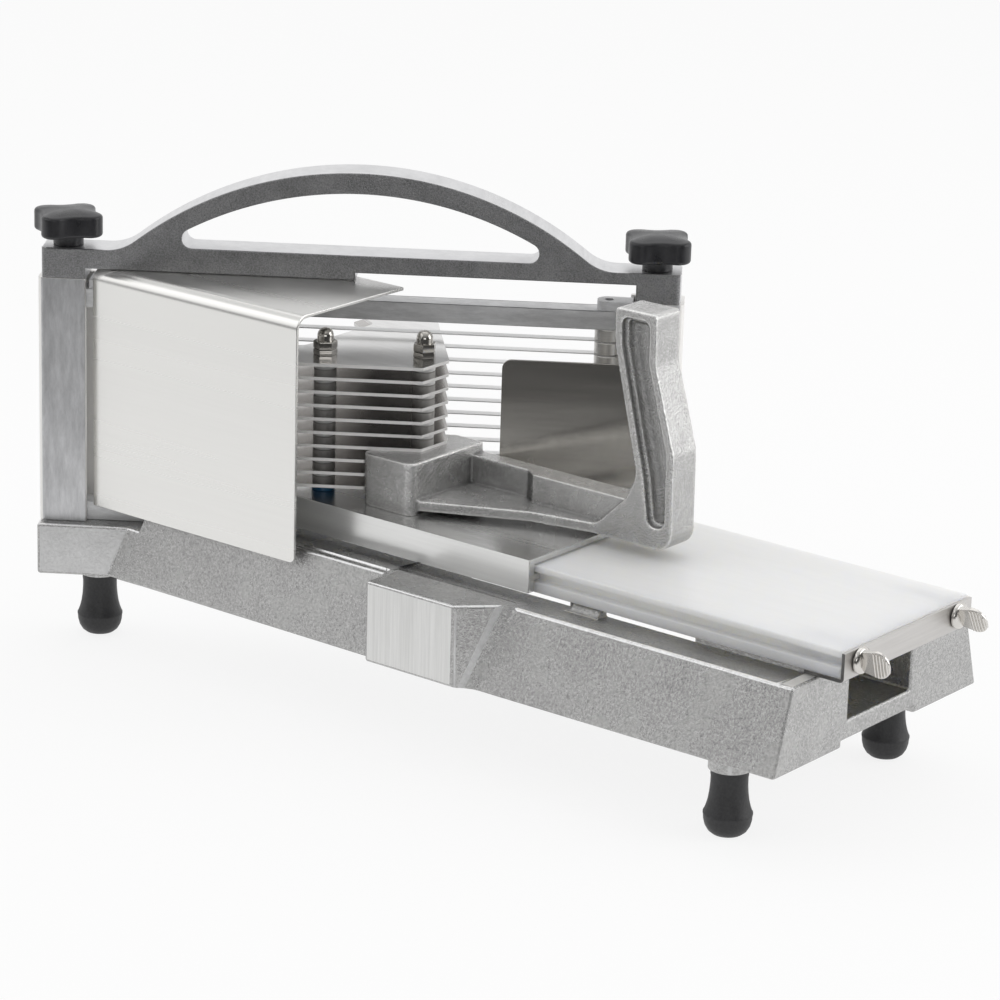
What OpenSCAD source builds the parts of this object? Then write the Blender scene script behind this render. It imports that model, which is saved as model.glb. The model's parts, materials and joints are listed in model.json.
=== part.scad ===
// Tomato slicer: a pusher slides along a board and drives its fins between level blades.
// Sizes in mm. X runs along the track toward the operator, Z is up.

/* [Base casting] */
// Height of the rails
base_h = 37.9; // [34:0.1:42]
// Width across the rails at the bottom
base_w = 157.2; // [150:0.2:166]
// Width across the rails at the top
rail_top_w = 134.6; // [128:0.2:142]
// Clear width between the rail flanges
rail_gap = 87; // [80:0.5:92]
// Thickness of the rail walls
rail_wall = 6; // [4:0.5:8]
// Thickness of the rail flanges
rail_flange = 4.5; // [3:0.5:6]
// Fall of the flange tops toward the middle
rail_fall = 1.9; // [0.5:0.1:3]
// Extra width of the near rail behind its step
rail_swell = 2.5; // [1:0.1:4]
// Distance from the end face to the step in the near rail
swell_x = 219; // [218:0.5:226]
// Gap between the rail ends and the front of the seat
rail_setback = 3.3; // [1:0.1:6]
// Thickness of the end wall
end_wall = 8; // [6:0.5:12]
// Width of the slot in the end wall
end_slot_w = 48.4; // [40:0.2:56]
// Height of the slot floor
end_slot_z = 12; // [9:0.5:16]
// Rise of the middle of the end wall above the bottom
end_lift = 3; // [1:0.5:5]
// Length of the box behind the slot
end_box_l = 77; // [60:1:90]
// Wall thickness of the box behind the slot
end_box_wall = 6; // [4:0.5:8]
// Distance from the end face to the gussets inside the rails
gusset_x = 114; // [104:1:120]
// Length of the gussets along the rails
gusset_l = 16; // [10:0.5:20]
// Distance from the end face to the side pad
pad_x = 167.5; // [160:0.5:170]
// Length of the side pad
pad_l = 50.2; // [44:0.2:52]
// How far the side pad stands out from the rail
pad_out = 5.4; // [3:0.2:8]
// Length of the slanted end of the side pad
pad_flare = 17; // [12:0.5:24]

/* [Feet] */
// Height of a foot with its boss
foot_h = 38; // [34:0.5:44]
// Height of the boss above each foot
foot_boss_h = 8; // [6:0.5:12]
// Diameter of the boss
foot_boss_d = 19; // [17:0.5:22]
// Diameter of a foot at the top
foot_top_d = 16.5; // [14:0.5:18]
// Largest diameter of a foot
foot_d = 21.5; // [20:0.5:26]
// Diameter of the flat under a foot
foot_flat_d = 11; // [8:0.5:14]
// Diameter of the stud in a foot
foot_stud_d = 6; // [5:0.5:8]
// Depth of the stud in a foot and in the base
foot_stud_in = 15; // [12:0.5:17]
// Distance of the front feet from the end face
foot_x = 34; // [26:0.5:42]
// Distance of the front feet from the middle
foot_y = 61; // [56:0.5:64]
// Distance of the near seat foot from the end of the seat
seat_foot_in = 24.8; // [20:0.1:30]
// Distance of the far seat foot from the end of the seat
far_foot_in = 40.1; // [30:0.1:44]
// Distance of the seat feet behind the blades
seat_foot_v = 14.9; // [12:0.1:16]

/* [Blade frame] */
// Angle of the frame across the track
frame_angle = 34.64; // [30:0.02:38]
// Distance from the end face to the middle of the frame
frame_x = 294.2; // [292:0.1:300]
// Width across the posts
frame_w = 298.6; // [292:0.2:304]
// Height of the seat
seat_h = 24.8; // [22:0.1:28]
// Height of the underside of the seat between its end blocks
seat_lift = 8; // [6:0.5:12]
// Reach of the seat ahead of the blades
seat_front = 15.5; // [13:0.1:18]
// Reach of the seat behind the blades
seat_back = 26.5; // [26:0.1:32]
// Length of the end blocks of the seat
block_l = 36.3; // [32:0.1:44]
// Width of a post
post_w = 22.3; // [20:0.1:25]
// Depth of a post and of the bridge
post_d = 19; // [17:0.5:22]
// Height of the posts above the top bar
post_over = 5.2; // [5:0.1:10]
// Depth of the groove in each post
post_groove = 3; // [2:0.1:4]
// Extra reach of the back lip of the groove
post_lip = 2.6; // [0:0.1:3]
// Radius of the front outer edge of a post
post_round = 3.5; // [2:0.5:5]
// Diameter of the screws that hold the posts
post_screw_d = 8; // [6:0.5:9]
// Depth of these screws in the posts
post_screw_in = 26; // [20:1:40]

/* [Bridge] */
// Distance of each end of the bridge inside the posts
arch_inset = 1.7; // [0.5:0.1:3]
// Height of the end pads
arch_pad_h = 14.3; // [12.5:0.1:18]
// Height of the middle above the posts
arch_rise = 55.5; // [52:0.5:62]
// Length of the end pads
arch_pad_l = 29.9; // [27:0.1:34]
// Radius where the top meets the end pads
arch_fillet = 22; // [14:0.5:26]
// Height of the underside on the near half
arch_low = 5; // [4:0.1:6]
// Height of the underside on the far half
arch_high = 8.5; // [7:0.1:10]
// Height of the floor of the hand slot
slot_floor = 16.8; // [14.5:0.1:20]
// Height of the rim over the hand slot
slot_rim = 9.9; // [8:0.1:14]
// Corner radius of the hand slot
slot_round = 4.5; // [3:0.1:5]

/* [Knobs] */
// Distance of the knobs from the outer faces of the posts
knob_in = 13.1; // [12:0.1:15]
// Diameter across the lobes
knob_d = 35.5; // [32:0.5:36.5]
// Diameter of each lobe of a knob
knob_lobe_d = 12; // [10:0.5:13]
// Depth of the hollows between the lobes
knob_hollow = 1.5; // [1:0.1:3]
// Height of the lobed head
knob_head_h = 11.7; // [9:0.1:14]
// Diameter of the neck
knob_neck_d = 14; // [12:0.5:18]
// Height of the neck
knob_neck_h = 4.9; // [4:0.1:8]
// Turn of the near knob
near_knob_turn = 21; // [0:1:90]
// Turn of the far knob
far_knob_turn = 7; // [0:1:90]
// Diameter of the stud
knob_stud_d = 8; // [6:0.5:8]
// Length of the stud in the post
knob_stud_in = 30; // [20:1:40]

/* [Guard and hand shield] */
// Thickness of the sheets
sheet_t = 1.5; // [1:0.1:2]
// Diameter of the sheet screws
sheet_screw_d = 4; // [3:0.5:5]
// Depth of the sheet screws in the castings
sheet_screw_in = 6; // [4:0.5:6.5]
// Distance of the guard from the top of the near rail
guard_off = 6.2; // [5.7:0.1:12]
// Distance from the end face to the open end of the guard
guard_x = 267; // [262:0.5:270]
// Gap between the guard and the near post
guard_gap = 1.1; // [0.8:0.1:8]
// Height of the guard
guard_h = 115.1; // [105:0.1:116]
// Outer radius of the bend
guard_bend = 6.5; // [4:0.1:10]
// Distance from the middle of the track to the flange edge
guard_edge_y = 2; // [0:0.5:6]
// Reach of the flange behind the blades
guard_reach = 5; // [3:0.1:8]
// Distance of the hand shield ahead of the blades
shield_v = 35; // [33:0.1:38]
// Length of the hand shield
shield_l = 74; // [60:0.5:78]
// Height of the hand shield
shield_h = 58.2; // [50:0.1:60]
// Corner radius of the hand shield
shield_round = 4.2; // [2:0.1:8]
// Length of the tab that holds the hand shield
shield_tab = 22; // [18:0.5:23]
// Height of the tab that holds the hand shield
shield_tab_h = 12; // [10:0.5:13]

/* [Blade cartridge] */
// Step from blade to blade
blade_pitch = 6.35; // [6.1:0.01:7]
// Thickness of a blade
blade_t = 0.5; // [0.4:0.05:0.8]
// Depth of a blade
blade_d = 5; // [4:0.1:6]
// Height of the lowest blade above the carriage
blade_gap = 3.1; // [2.6:0.1:4]
// Height of the bars
bar_h = 9; // [7:0.1:9.4]
// Depth of the bars
bar_d = 11.5; // [10:0.1:13]
// Distance of the tie rods from the posts
tie_in = 12.3; // [12:0.1:15]
// Diameter of the tie rods
tie_d = 6; // [5:0.5:7]
// Width of the raised ends of the top bar
bar_boss_w = 11; // [10:0.1:11.5]
// Height of the raised ends of the top bar
bar_boss_h = 4.3; // [3:0.1:5]
// Diameter of the blade spacers
stack_d = 12.4; // [11.5:0.1:13]

/* [Board and end plate] */
// Width of the board
board_w = 98.4; // [94:0.2:99]
// Thickness of the board
board_t = 12.6; // [12:0.1:14]
// Reach of the board past the end face
board_over = 11.2; // [8:0.1:16]
// Height of the groove floor above the underside of the board
groove_z = 5; // [4:0.1:5.5]
// Height of the side grooves
groove_h = 4.3; // [4:0.1:5]
// Depth of the side grooves
groove_d = 4.3; // [3.5:0.1:6]
// Reach of the board behind the blades
board_back = 22; // [19:0.5:24]
// Height of the end plate
plate_h = 13.1; // [12:0.1:14]
// Length of the end plate under the board
plate_lip = 20; // [16:0.5:26]
// Distance of the thumb screws from the middle
thumb_y = 38; // [34:0.5:41]
// Diameter of the thumb screw shafts
thumb_d = 5; // [4:0.5:6]
// Depth of the thumb screws in the board
thumb_in = 26; // [18:1:32]
// Diameter of the thumb screw collars
thumb_collar_d = 12; // [10:0.5:13]
// Length of the thumb screw collars
thumb_collar_l = 3; // [2:0.5:5]
// Length of the thumb screw wings
thumb_wing_l = 12; // [11:0.5:16]
// Height of the thumb screw wings
thumb_wing_h = 13; // [11:0.5:15]
// Thickness of the thumb screw wings
thumb_wing_t = 3.6; // [2.5:0.1:5]
// Turn of the near thumb screw
near_thumb_turn = 16; // [0:1:180]
// Turn of the far thumb screw
far_thumb_turn = 28; // [0:1:180]

/* [Carriage and fins] */
// Distance from the end face to the handle block
pusher_x = 226.5; // [225:0.5:232]
// Thickness of the carriage sides
carriage_wall = 4.4; // [3:0.1:5]
// Thickness of the carriage top
carriage_t = 3; // [2.6:0.1:4]
// Depth of the carriage sides
carriage_h = 15.3; // [14:0.1:15.6]
// Reach of the carriage toward the operator from the block
carriage_front = 76.5; // [72:0.5:80]
// Gap between the carriage and the blades at its slanted end
carriage_back = 7.5; // [5:0.5:12]
// Sliding gap between the carriage and the board
slide_gap = 0.3; // [0.3:0.05:0.5]
// Gap between the carriage lips and the grooves
lip_gap = 0.6; // [0.4:0.05:0.8]
// Thickness of a fin
fin_t = 1.5; // [1:0.1:1.8]
// Distance of the slanted back edge from the blades
fin_back = 53.1; // [51:0.1:56]
// Distance from the block face to the short end of the fins
fin_end = 9.8; // [8:0.1:12]
// Length of the fin tips ahead of the block face
fin_tip = 98.5; // [94:0.5:102]
// Depth of the notch that takes the fruit
fin_notch = 25; // [20:0.5:30]
// Reach of the fins to the far side
fin_far = 50; // [44:0.5:53]
// Reach of the fins to the near side
fin_near = 62; // [56:0.5:66]
// Gap between the low fins and the block
fin_clear = 1.5; // [1:0.1:3]
// Distance of the near fin bolt ahead of the block face
near_bolt_x = 57.2; // [55:0.1:60]
// Distance of the near fin bolt from the middle
near_bolt_y = 36.9; // [35:0.1:38]
// Distance of the far fin bolt ahead of the block face
far_bolt_x = 21.7; // [20:0.1:22.5]
// Distance of the far fin bolt from the middle
far_bolt_y = 9.1; // [8:0.1:10]
// Diameter of the fin bolts
bolt_d = 5.6; // [5:0.1:6]
// Diameter of the fin spacers
fin_spacer_d = 10.4; // [9.5:0.1:12]
// Width of the nuts across their flats
nut_w = 9.5; // [9:0.1:11]
// Height of a jam nut
jam_h = 2.7; // [2.5:0.1:5]
// Height of a cap nut
cap_h = 9.7; // [9:0.1:11]

/* [Handle] */
// Length of the block along the track
handle_block_l = 29.5; // [27:0.1:31]
// Width of the block
handle_block_w = 51.5; // [48:0.1:54]
// Distance of the far side of the handle from the middle
handle_far = 8.5; // [7:0.1:10]
// Radius of the block corners
handle_round = 4; // [2:0.5:6]
// Gap between the arm and the carriage
arm_lift = 2; // [1:0.1:3]
// Thickness of the foot of the arm
arm_foot = 4.8; // [4:0.1:6]
// Height of the arm
arm_h = 18; // [15:0.5:20]
// Thickness of the arm at the block
arm_t = 8.5; // [6:0.1:11]
// Thickness of the arm at the grip
arm_t2 = 13; // [11:0.1:16]
// Length of the arm from the block to the grip
arm_l = 76.5; // [72:0.5:80]
// Distance from the block to the waist of the arm
arm_waist = 47; // [42:0.5:52]
// Distance from the block to the step in the arm
arm_step = 33; // [28:0.5:38]
// Thickness of the grip
grip_t = 18; // [16:0.5:20]
// Height of the grip above the carriage
grip_h = 107.9; // [100:0.1:112]
// Width of the grip at the top
grip_w = 22.4; // [20:0.2:26]
// Width of the rim around the recess in the grip
grip_rim = 3.8; // [3:0.1:5]
// Depth of the recess in the grip
grip_recess = 3; // [1:0.5:5]
// Reach of the grip foot from the block
grip_foot = 120; // [116:0.5:124]
// Reach of the grip top from the block
grip_top = 107.4; // [104:0.2:110]
// Height of the bend in the back of the grip
grip_bend = 85.5; // [80:0.5:90]
// Height of the knee in the back of the grip
grip_knee = 46.5; // [42:0.5:52]
// Distance of the stub under the grip from the block
stub_x = 97.7; // [94:0.1:104]
// Diameter of the stub under the grip
stub_d = 6.3; // [5:0.1:9]
// Height of the stub under the grip
stub_h = 2.4; // [1.5:0.1:3]

/* [Hidden] */
$fn = 64;
turn = [cos(frame_angle), sin(frame_angle)];
// Fits
run = 0.08;
fit = 0.1;
free = 0.3;
// Heights along the track
rail_under = base_h - rail_flange - rail_fall;
board_z = base_h + sheet_t + 0.2;
board_top = board_z + board_t;
carriage_top = board_top + slide_gap + carriage_t;
// Blades, fins and their spacers
blades = 11;
fins = blades - 1;
short_fins = 3;
blade_z = carriage_top + blade_gap;
spacer_h = blade_pitch - blade_t;
fin_z = blade_z + blade_pitch / 2;
fin_spacer_h = blade_pitch - fin_t;
fins_top = fin_z + (fins - 1) * blade_pitch + fin_t / 2;
block_top = fin_z + short_fins * blade_pitch - fin_t / 2;
bar_z = blade_z + (blades - 1) * blade_pitch + blade_t / 2 + spacer_h;
// Frame
post_top = bar_z + bar_h + post_over;
post_u = frame_w / 2 - post_w;
knob_u = frame_w / 2 - knob_in;
tie_u = post_u - tie_in;
seat_foot_u = frame_w / 2 - seat_foot_in;
far_foot_u = frame_w / 2 - far_foot_in;
bar_u = post_u + post_groove - free;
arch_u = frame_w / 2 - arch_inset;
pad_z = post_top + arch_pad_h;
arch_over = arch_rise - arch_pad_h;
fillet_u = arch_u - arch_pad_l;
arch_r = (pow(fillet_u, 2) + pow(arch_over, 2)) / (2 * arch_over) - arch_fillet;
arch_z = post_top + arch_rise - arch_r;
slot_z = arch_z - slot_rim;
slot_end_z = post_top + slot_floor + slot_round;
slot_u = sqrt(pow(arch_r - slot_round, 2) - pow(slot_end_z - slot_z, 2));
slot_a = atan2(slot_end_z - slot_z, slot_u);
fillet_z = pad_z + arch_fillet;
fillet_a = atan2(fillet_z - arch_z, fillet_u);
guard_top = post_top + arch_low;
guard_clear = tie_u * turn[1] + stack_d / 2 + sheet_t + 1;
guard_y = max(rail_top_w / 2 + rail_swell + guard_off, guard_clear);
// Pusher
lip_z = board_z + groove_z + lip_gap;
lip_h = groove_h - 2 * lip_gap;
lip_in = board_w / 2 - groove_d + lip_gap;
wall_in = board_w / 2 + 0.4;
carriage_w = 2 * (wall_in + carriage_wall);
near_bolt = [-pusher_x - near_bolt_x, -near_bolt_y];
far_bolt = [-pusher_x - far_bolt_x, -far_bolt_y];
handle_screws_at = [[-pusher_x - 9, -32], [-pusher_x - 7, -12]];
shield_z = fin_z - fin_t / 2 + 1;
shield_y = handle_far + sheet_t;
shield_x = -frame_x + (shield_v + shield_y * turn[0]) / turn[1];
shield_u = (shield_y + shield_v * turn[0]) / turn[1];
// Placing
function on_frame(u, v) = [u * turn[0] - v * turn[1] - frame_x, u * turn[1] + v * turn[0]];
guard_left = on_frame(-post_u, -post_d / 2)[0] + guard_gap;
feet_at = [
    [-foot_x, -foot_y],
    [-foot_x, foot_y],
    on_frame(-seat_foot_u, seat_foot_v),
    on_frame(far_foot_u, seat_foot_v)
];
boss_top = [rail_under, rail_under, seat_h / 2, seat_h / 2];
plate_x = board_over + sheet_t;
front_x = plate_x + free + thumb_collar_l + thumb_wing_l;
mid_x = (front_x + on_frame(-frame_w / 2, seat_back)[0]) / 2;
mid_y = (on_frame(-frame_w / 2, -seat_front)[1] + on_frame(frame_w / 2, seat_back)[1]) / 2;

// Points along an arc, and an outline with rounded corners, one radius for each point
function arc(o, r, a, b, n) =
    [for (i = [0:n]) let (t = a + (b - a) * i / n) o + r * [cos(t), sin(t)]];
function unit(v) = v / norm(v);
function corner(a, b, c, r) =
    let (p = unit(a - b), q = unit(c - b), half = acos(p * q) / 2)
    let (o = b + unit(p + q) * r / sin(half))
    let (s = b + p * r / tan(half) - o, e = b + q * r / tan(half) - o)
    let (from = atan2(s[1], s[0]), sweep = (atan2(e[1], e[0]) - from + 540) % 360 - 180)
    arc(o, r, from, from + sweep, 6);
function rounded(pts, radii) =
    let (n = len(pts))
    [for (i = [0:n - 1]) each
        radii[i] == 0 ? [pts[i]] : corner(pts[(i + n - 1) % n], pts[i], pts[(i + 1) % n], radii[i])];

// Track frame, frame of the blades, and outlines set upright in them
module placed() translate([-mid_x, -mid_y, foot_h]) children();
module on_seat() translate([-frame_x, 0, 0]) rotate([0, 0, frame_angle]) children();
module framed() placed() on_seat() children();
module along(x0, x1) translate([x0, 0, 0]) rotate([90, 0, 90]) linear_extrude(x1 - x0) children();
module upright(v0, v1) translate([0, v1, 0]) rotate([90, 0, 0]) linear_extrude(v1 - v0) children();
module both() {
    children();
    mirror([1, 0, 0]) children();
}
module ring(od, id, h) difference() {
    cylinder(d = od, h = h);
    translate([0, 0, -1]) cylinder(d = id, h = h + 2);
}

// Base casting
module rail_outline(half_top) polygon([
    [base_w / 2, 0],
    [half_top, base_h],
    [rail_gap / 2, base_h - rail_fall],
    [rail_gap / 2, base_h - rail_fall - rail_flange],
    [half_top - rail_wall, base_h - rail_flange],
    [base_w / 2 - rail_wall, 0]
]);
module rails() difference() {
    union() {
        along(-frame_x - frame_w / 2, 0) both() rail_outline(rail_top_w / 2);
        along(-frame_x - frame_w / 2, -swell_x) mirror([1, 0, 0])
            rail_outline(rail_top_w / 2 + rail_swell);
    }
    on_seat() {
        translate([-frame_w, 1 - seat_front, -1]) cube([2 * frame_w, frame_w, seat_h + 1]);
        translate([-frame_w, -seat_front - rail_setback, seat_h]) cube([2 * frame_w, frame_w, base_h]);
    }
}
module end_frame() {
    along(-end_wall, 0) difference() {
        polygon([
            [-base_w / 2, 0],
            [base_w / 2, 0],
            [rail_top_w / 2, base_h],
            [-rail_top_w / 2, base_h]
        ]);
        translate([-end_slot_w / 2, end_slot_z]) square([end_slot_w, base_h]);
        translate([-end_slot_w / 2 - 4, -1]) square([end_slot_w + 8, end_lift + 1]);
    }
    along(-end_box_l, 0) difference() {
        translate([-end_slot_w / 2 - end_box_wall, end_lift])
            square([end_slot_w + 2 * end_box_wall, base_h - end_lift]);
        translate([-end_slot_w / 2, end_slot_z]) square([end_slot_w, base_h]);
    }
}
module gussets() along(-gusset_x - gusset_l, -gusset_x) both() polygon([
    [base_w / 2 - rail_wall - 4, 0],
    [base_w / 2 - 1, 0],
    [rail_top_w / 2 - 1, base_h - rail_flange],
    [rail_gap / 2 + 9, base_h - rail_fall],
    [rail_gap / 2 + 4, board_z],
    [rail_gap / 2, board_z],
    [rail_gap / 2, base_h - rail_fall - 2 * rail_flange]
]);
module side_pad() linear_extrude(base_h) polygon([
    [-pad_x - pad_l, -base_w / 2 - pad_out],
    [-pad_x, -base_w / 2 - pad_out],
    [-pad_x + pad_flare, -rail_top_w / 2],
    [-pad_x + pad_flare, -rail_top_w / 2 + rail_wall],
    [-pad_x - pad_l, -rail_top_w / 2 + rail_wall]
]);
module seat() on_seat() {
    translate([-frame_w / 2, -seat_front, seat_lift])
        cube([frame_w, seat_front + seat_back, seat_h - seat_lift]);
    both() translate([-frame_w / 2, -seat_front, 0])
        cube([block_l, seat_front + seat_back, seat_h]);
}
module board_rest() intersection() {
    on_seat() translate([-frame_w / 2, seat_back - 14, seat_h - 1])
        cube([frame_w, 12, board_z - seat_h + 1]);
    along(-frame_x - frame_w, 0) translate([-board_w / 2 + 8, 0]) square([board_w - 16, 2 * base_h]);
}
module foot_boss(i) translate([feet_at[i][0], feet_at[i][1], -foot_boss_h])
    cylinder(d = foot_boss_d, h = foot_boss_h + boss_top[i]);
module rail_bosses() intersection() {
    union() {
        foot_boss(0);
        foot_boss(1);
    }
    along(-frame_x, 0) polygon([
        [-base_w / 2, -foot_boss_h],
        [base_w / 2, -foot_boss_h],
        [base_w / 2, 0],
        [rail_top_w / 2 - rail_wall / 3, base_h],
        [-rail_top_w / 2 + rail_wall / 3, base_h],
        [-base_w / 2, 0]
    ]);
}
module base() color("silver") placed() difference() {
    union() {
        rails();
        end_frame();
        gussets();
        side_pad();
        seat();
        board_rest();
        rail_bosses();
        foot_boss(2);
        foot_boss(3);
    }
    for (p = feet_at) translate([p[0], p[1], -foot_boss_h - 1])
        cylinder(d = foot_stud_d + 2 * fit, h = foot_boss_h + foot_stud_in + 2);
    on_seat() both() translate([post_u + post_w / 2, 0, -1]) {
        cylinder(d = post_screw_d + 2 * fit, h = seat_h + 2);
        cylinder(d = 1.65 * post_screw_d, h = 13);
    }
}

// Feet and their studs
module foot(i) color("dimgray") placed()
    translate([feet_at[i][0], feet_at[i][1], -foot_h]) difference() {
    rotate_extrude() polygon(rounded([
        [0, 0],
        [foot_flat_d / 2, 0],
        [foot_d / 2, 5],
        [foot_d / 2, 12],
        [foot_top_d / 2, foot_h - foot_boss_h],
        [0, foot_h - foot_boss_h]
    ], [0, 3, 5, 12, 0, 0]));
    translate([0, 0, foot_h - foot_boss_h - foot_stud_in - 1])
        cylinder(d = foot_stud_d + 2 * fit, h = foot_stud_in + 5);
}
module foot_studs() color("gray") placed() for (p = feet_at)
    translate([p[0], p[1], -foot_boss_h - foot_stud_in])
        cylinder(d = foot_stud_d, h = foot_boss_h + 2 * foot_stud_in);

// Posts and their screws
module post() difference() {
    translate([0, 0, seat_h]) linear_extrude(post_top - seat_h) polygon(rounded([
        [-frame_w / 2, -post_d / 2],
        [-post_u, -post_d / 2],
        [-post_u, 0],
        [-post_u + post_lip, 0],
        [-post_u + post_lip, post_d / 2],
        [-frame_w / 2, post_d / 2]
    ], [post_round, 0, 0, 0, 0, 0]));
    translate([-post_u - post_groove, -bar_d / 2 - free, seat_h - 1])
        cube([post_groove + post_lip + 1, bar_d + 2 * free, post_top - seat_h + 2]);
    translate([-knob_u, 0, post_top - knob_stud_in - 2])
        cylinder(d = knob_stud_d + 2 * run, h = knob_stud_in + 3);
    translate([-post_u - post_w / 2, 0, seat_h - 1]) 
        cylinder(d = post_screw_d + 2 * fit, h = post_screw_in + 4);
}
module post_near() color("slategray") framed() post();
module post_far() color("slategray") framed() mirror([1, 0, 0]) post();
module post_screws() color("gray") framed() both() translate([post_u + post_w / 2, 0, 0]) {
    translate([0, 0, 4]) cylinder(d = 1.5 * post_screw_d, h = 8);
    translate([0, 0, 12]) cylinder(d = post_screw_d, h = seat_h + post_screw_in - 12);
}

// Bridge over the blades
module arch_outline() polygon(concat(
    [[post_u, post_top], [arch_u, post_top], [arch_u, pad_z]],
    arc([fillet_u, fillet_z], arch_fillet, 270, 180 + fillet_a, 8),
    arc([0, arch_z], arch_r, fillet_a, 180 - fillet_a, 48),
    arc([-fillet_u, fillet_z], arch_fillet, 360 - fillet_a, 270, 8),
    [[-arch_u, pad_z], [-arch_u, post_top], [-post_u, post_top], [-post_u, guard_top]],
    [[-2, guard_top], [-2, post_top + arch_high], [post_u, post_top + arch_high]]
));
module slot_outline() polygon(concat(
    arc([slot_u, slot_end_z], slot_round, -90, slot_a, 8),
    arc([0, slot_z], arch_r, slot_a, 180 - slot_a, 48),
    arc([-slot_u, slot_end_z], slot_round, 180 - slot_a, 270, 8)
));
module arch() color("dimgray") framed() difference() {
    upright(-post_d / 2, post_d / 2) difference() {
        arch_outline();
        slot_outline();
    }
    both() translate([knob_u, 0, post_top - 1]) cylinder(d = knob_stud_d + 2 * run, h = arch_pad_h + 2);
    guard_screw_places() cylinder(d = sheet_screw_d + 2 * fit, h = sheet_screw_in + 1);
}

// Knobs and their studs
function spun(p, a) = [p[0] * cos(a) - p[1] * sin(a), p[0] * sin(a) + p[1] * cos(a)];
function knob_rim(at, r, h) =
    let (side = at * cos(45), bend = (side * side - 2 * r * h + h * h) / (2 * h))
    let (lean = 45 + atan2(side, bend + r - h), sweep = 90 - 2 * lean, o = bend + side + r - h)
    [for (a = [45:90:315], p = concat(
        arc([at, 0], r, -lean, lean, 10),
        arc(o * [cos(45), sin(45)], bend, lean - 180 + sweep / 6, -90 - lean - sweep / 6, 4)
    )) spun(p, a)];
module knob(side) color("black") framed() translate([side * knob_u, 0, pad_z + free]) difference() {
    union() {
        cylinder(d = knob_neck_d, h = knob_neck_h);
        translate([0, 0, knob_neck_h]) rotate(side < 0 ? near_knob_turn : far_knob_turn)
            linear_extrude(knob_head_h)
                polygon(knob_rim((knob_d - knob_lobe_d) / 2, knob_lobe_d / 2, knob_hollow));
    }
    translate([0, 0, -1]) cylinder(d = knob_stud_d + 2 * fit, h = knob_neck_h + 5);
}
module knob_stud(side) color("gray") framed() translate([side * knob_u, 0, post_top - knob_stud_in])
    cylinder(d = knob_stud_d, h = knob_stud_in + arch_pad_h + free + knob_neck_h + 3.5);

// Guard, hand shield and their screws
module guard_screw_places() for (u = [27 - post_u, -30]) translate([u, -2, guard_top]) children();
module guard() color("lightgray") placed() difference() {
    union() {
        translate([0, sheet_t - guard_y, 0]) rotate([90, 0, 0]) linear_extrude(sheet_t) polygon(rounded([
            [guard_left, guard_top - guard_h],
            [-guard_x, guard_top - guard_h],
            [-guard_x, guard_top - guard_bend],
            [guard_left, guard_top - guard_bend]
        ], [0, 3, 0, 0]));
        along(guard_left, -guard_x) translate([guard_bend - guard_y, guard_top - guard_bend])
            intersection() {
                difference() {
                    circle(guard_bend);
                    circle(guard_bend - sheet_t);
                }
                translate([-guard_bend, 0]) square(guard_bend);
            }
        translate([0, 0, guard_top - sheet_t]) linear_extrude(sheet_t) polygon([
            [guard_left, guard_bend - guard_y],
            [-guard_x, guard_bend - guard_y],
            [-guard_x, -guard_edge_y],
            [-frame_x - (guard_reach + guard_edge_y * turn[0]) / turn[1], -guard_edge_y],
            on_frame(-post_u + 9, guard_reach)
        ]);
    }
    on_seat() guard_screw_places() translate([0, 0, -sheet_t - 1])
        cylinder(d = sheet_screw_d + 2 * fit, h = sheet_t + 2);
}
module guard_screws() color("gray") framed() guard_screw_places() {
    translate([0, 0, -sheet_t - 2.4]) cylinder(d = 1.9 * sheet_screw_d, h = 2.4);
    translate([0, 0, -sheet_t]) cylinder(d = sheet_screw_d, h = sheet_t + sheet_screw_in);
}
module shield_screw_places() for (x = [7, 16])
    translate([shield_x - x, shield_y, shield_z + shield_tab_h / 2]) rotate([90, 0, 0]) children();
module hand_shield() color("gainsboro") placed() difference() {
    union() {
        on_seat() upright(-shield_v, sheet_t - shield_v) polygon(rounded([
            [shield_u, shield_z],
            [shield_u + shield_l, shield_z],
            [shield_u + shield_l, shield_z + shield_h],
            [shield_u, shield_z + shield_h]
        ], [0, shield_round, shield_round, shield_round]));
        translate([shield_x - shield_tab, handle_far, shield_z])
            cube([shield_tab, sheet_t, shield_tab_h]);
    }
    shield_screw_places() translate([0, 0, -1]) cylinder(d = sheet_screw_d + 2 * fit, h = sheet_t + 2);
}
module shield_screws() color("gray") placed() shield_screw_places() {
    translate([0, 0, -2.4]) cylinder(d = 1.9 * sheet_screw_d, h = 2.4);
    cylinder(d = sheet_screw_d, h = sheet_t + sheet_screw_in);
}

// Blade cartridge
module bar() difference() {
    translate([-bar_u, -bar_d / 2, 0]) cube([2 * bar_u, bar_d, bar_h]);
    both() translate([tie_u, 0, -1]) cylinder(d = tie_d + 2 * fit, h = bar_h + 2);
}
module bar_boss() difference() {
    union() {
        cylinder(d = bar_boss_w, h = bar_boss_h);
        translate([0, -bar_boss_w / 2, 0]) cube([post_u - tie_u - 1, bar_boss_w, bar_boss_h]);
    }
    translate([0, 0, -1]) cylinder(d = 4.2, h = bar_boss_h + 2);
}
module top_bar() color("darkgray") framed() translate([0, 0, bar_z]) {
    bar();
    both() translate([tie_u, 0, bar_h]) bar_boss();
}
module bottom_bar() color("darkgray") framed() translate([0, 0, seat_h]) bar();
module tie_rods() color("gray") framed() both() translate([tie_u, 0, seat_h + 1])
    cylinder(d = tie_d, h = bar_z + bar_h - seat_h - 1);
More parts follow.
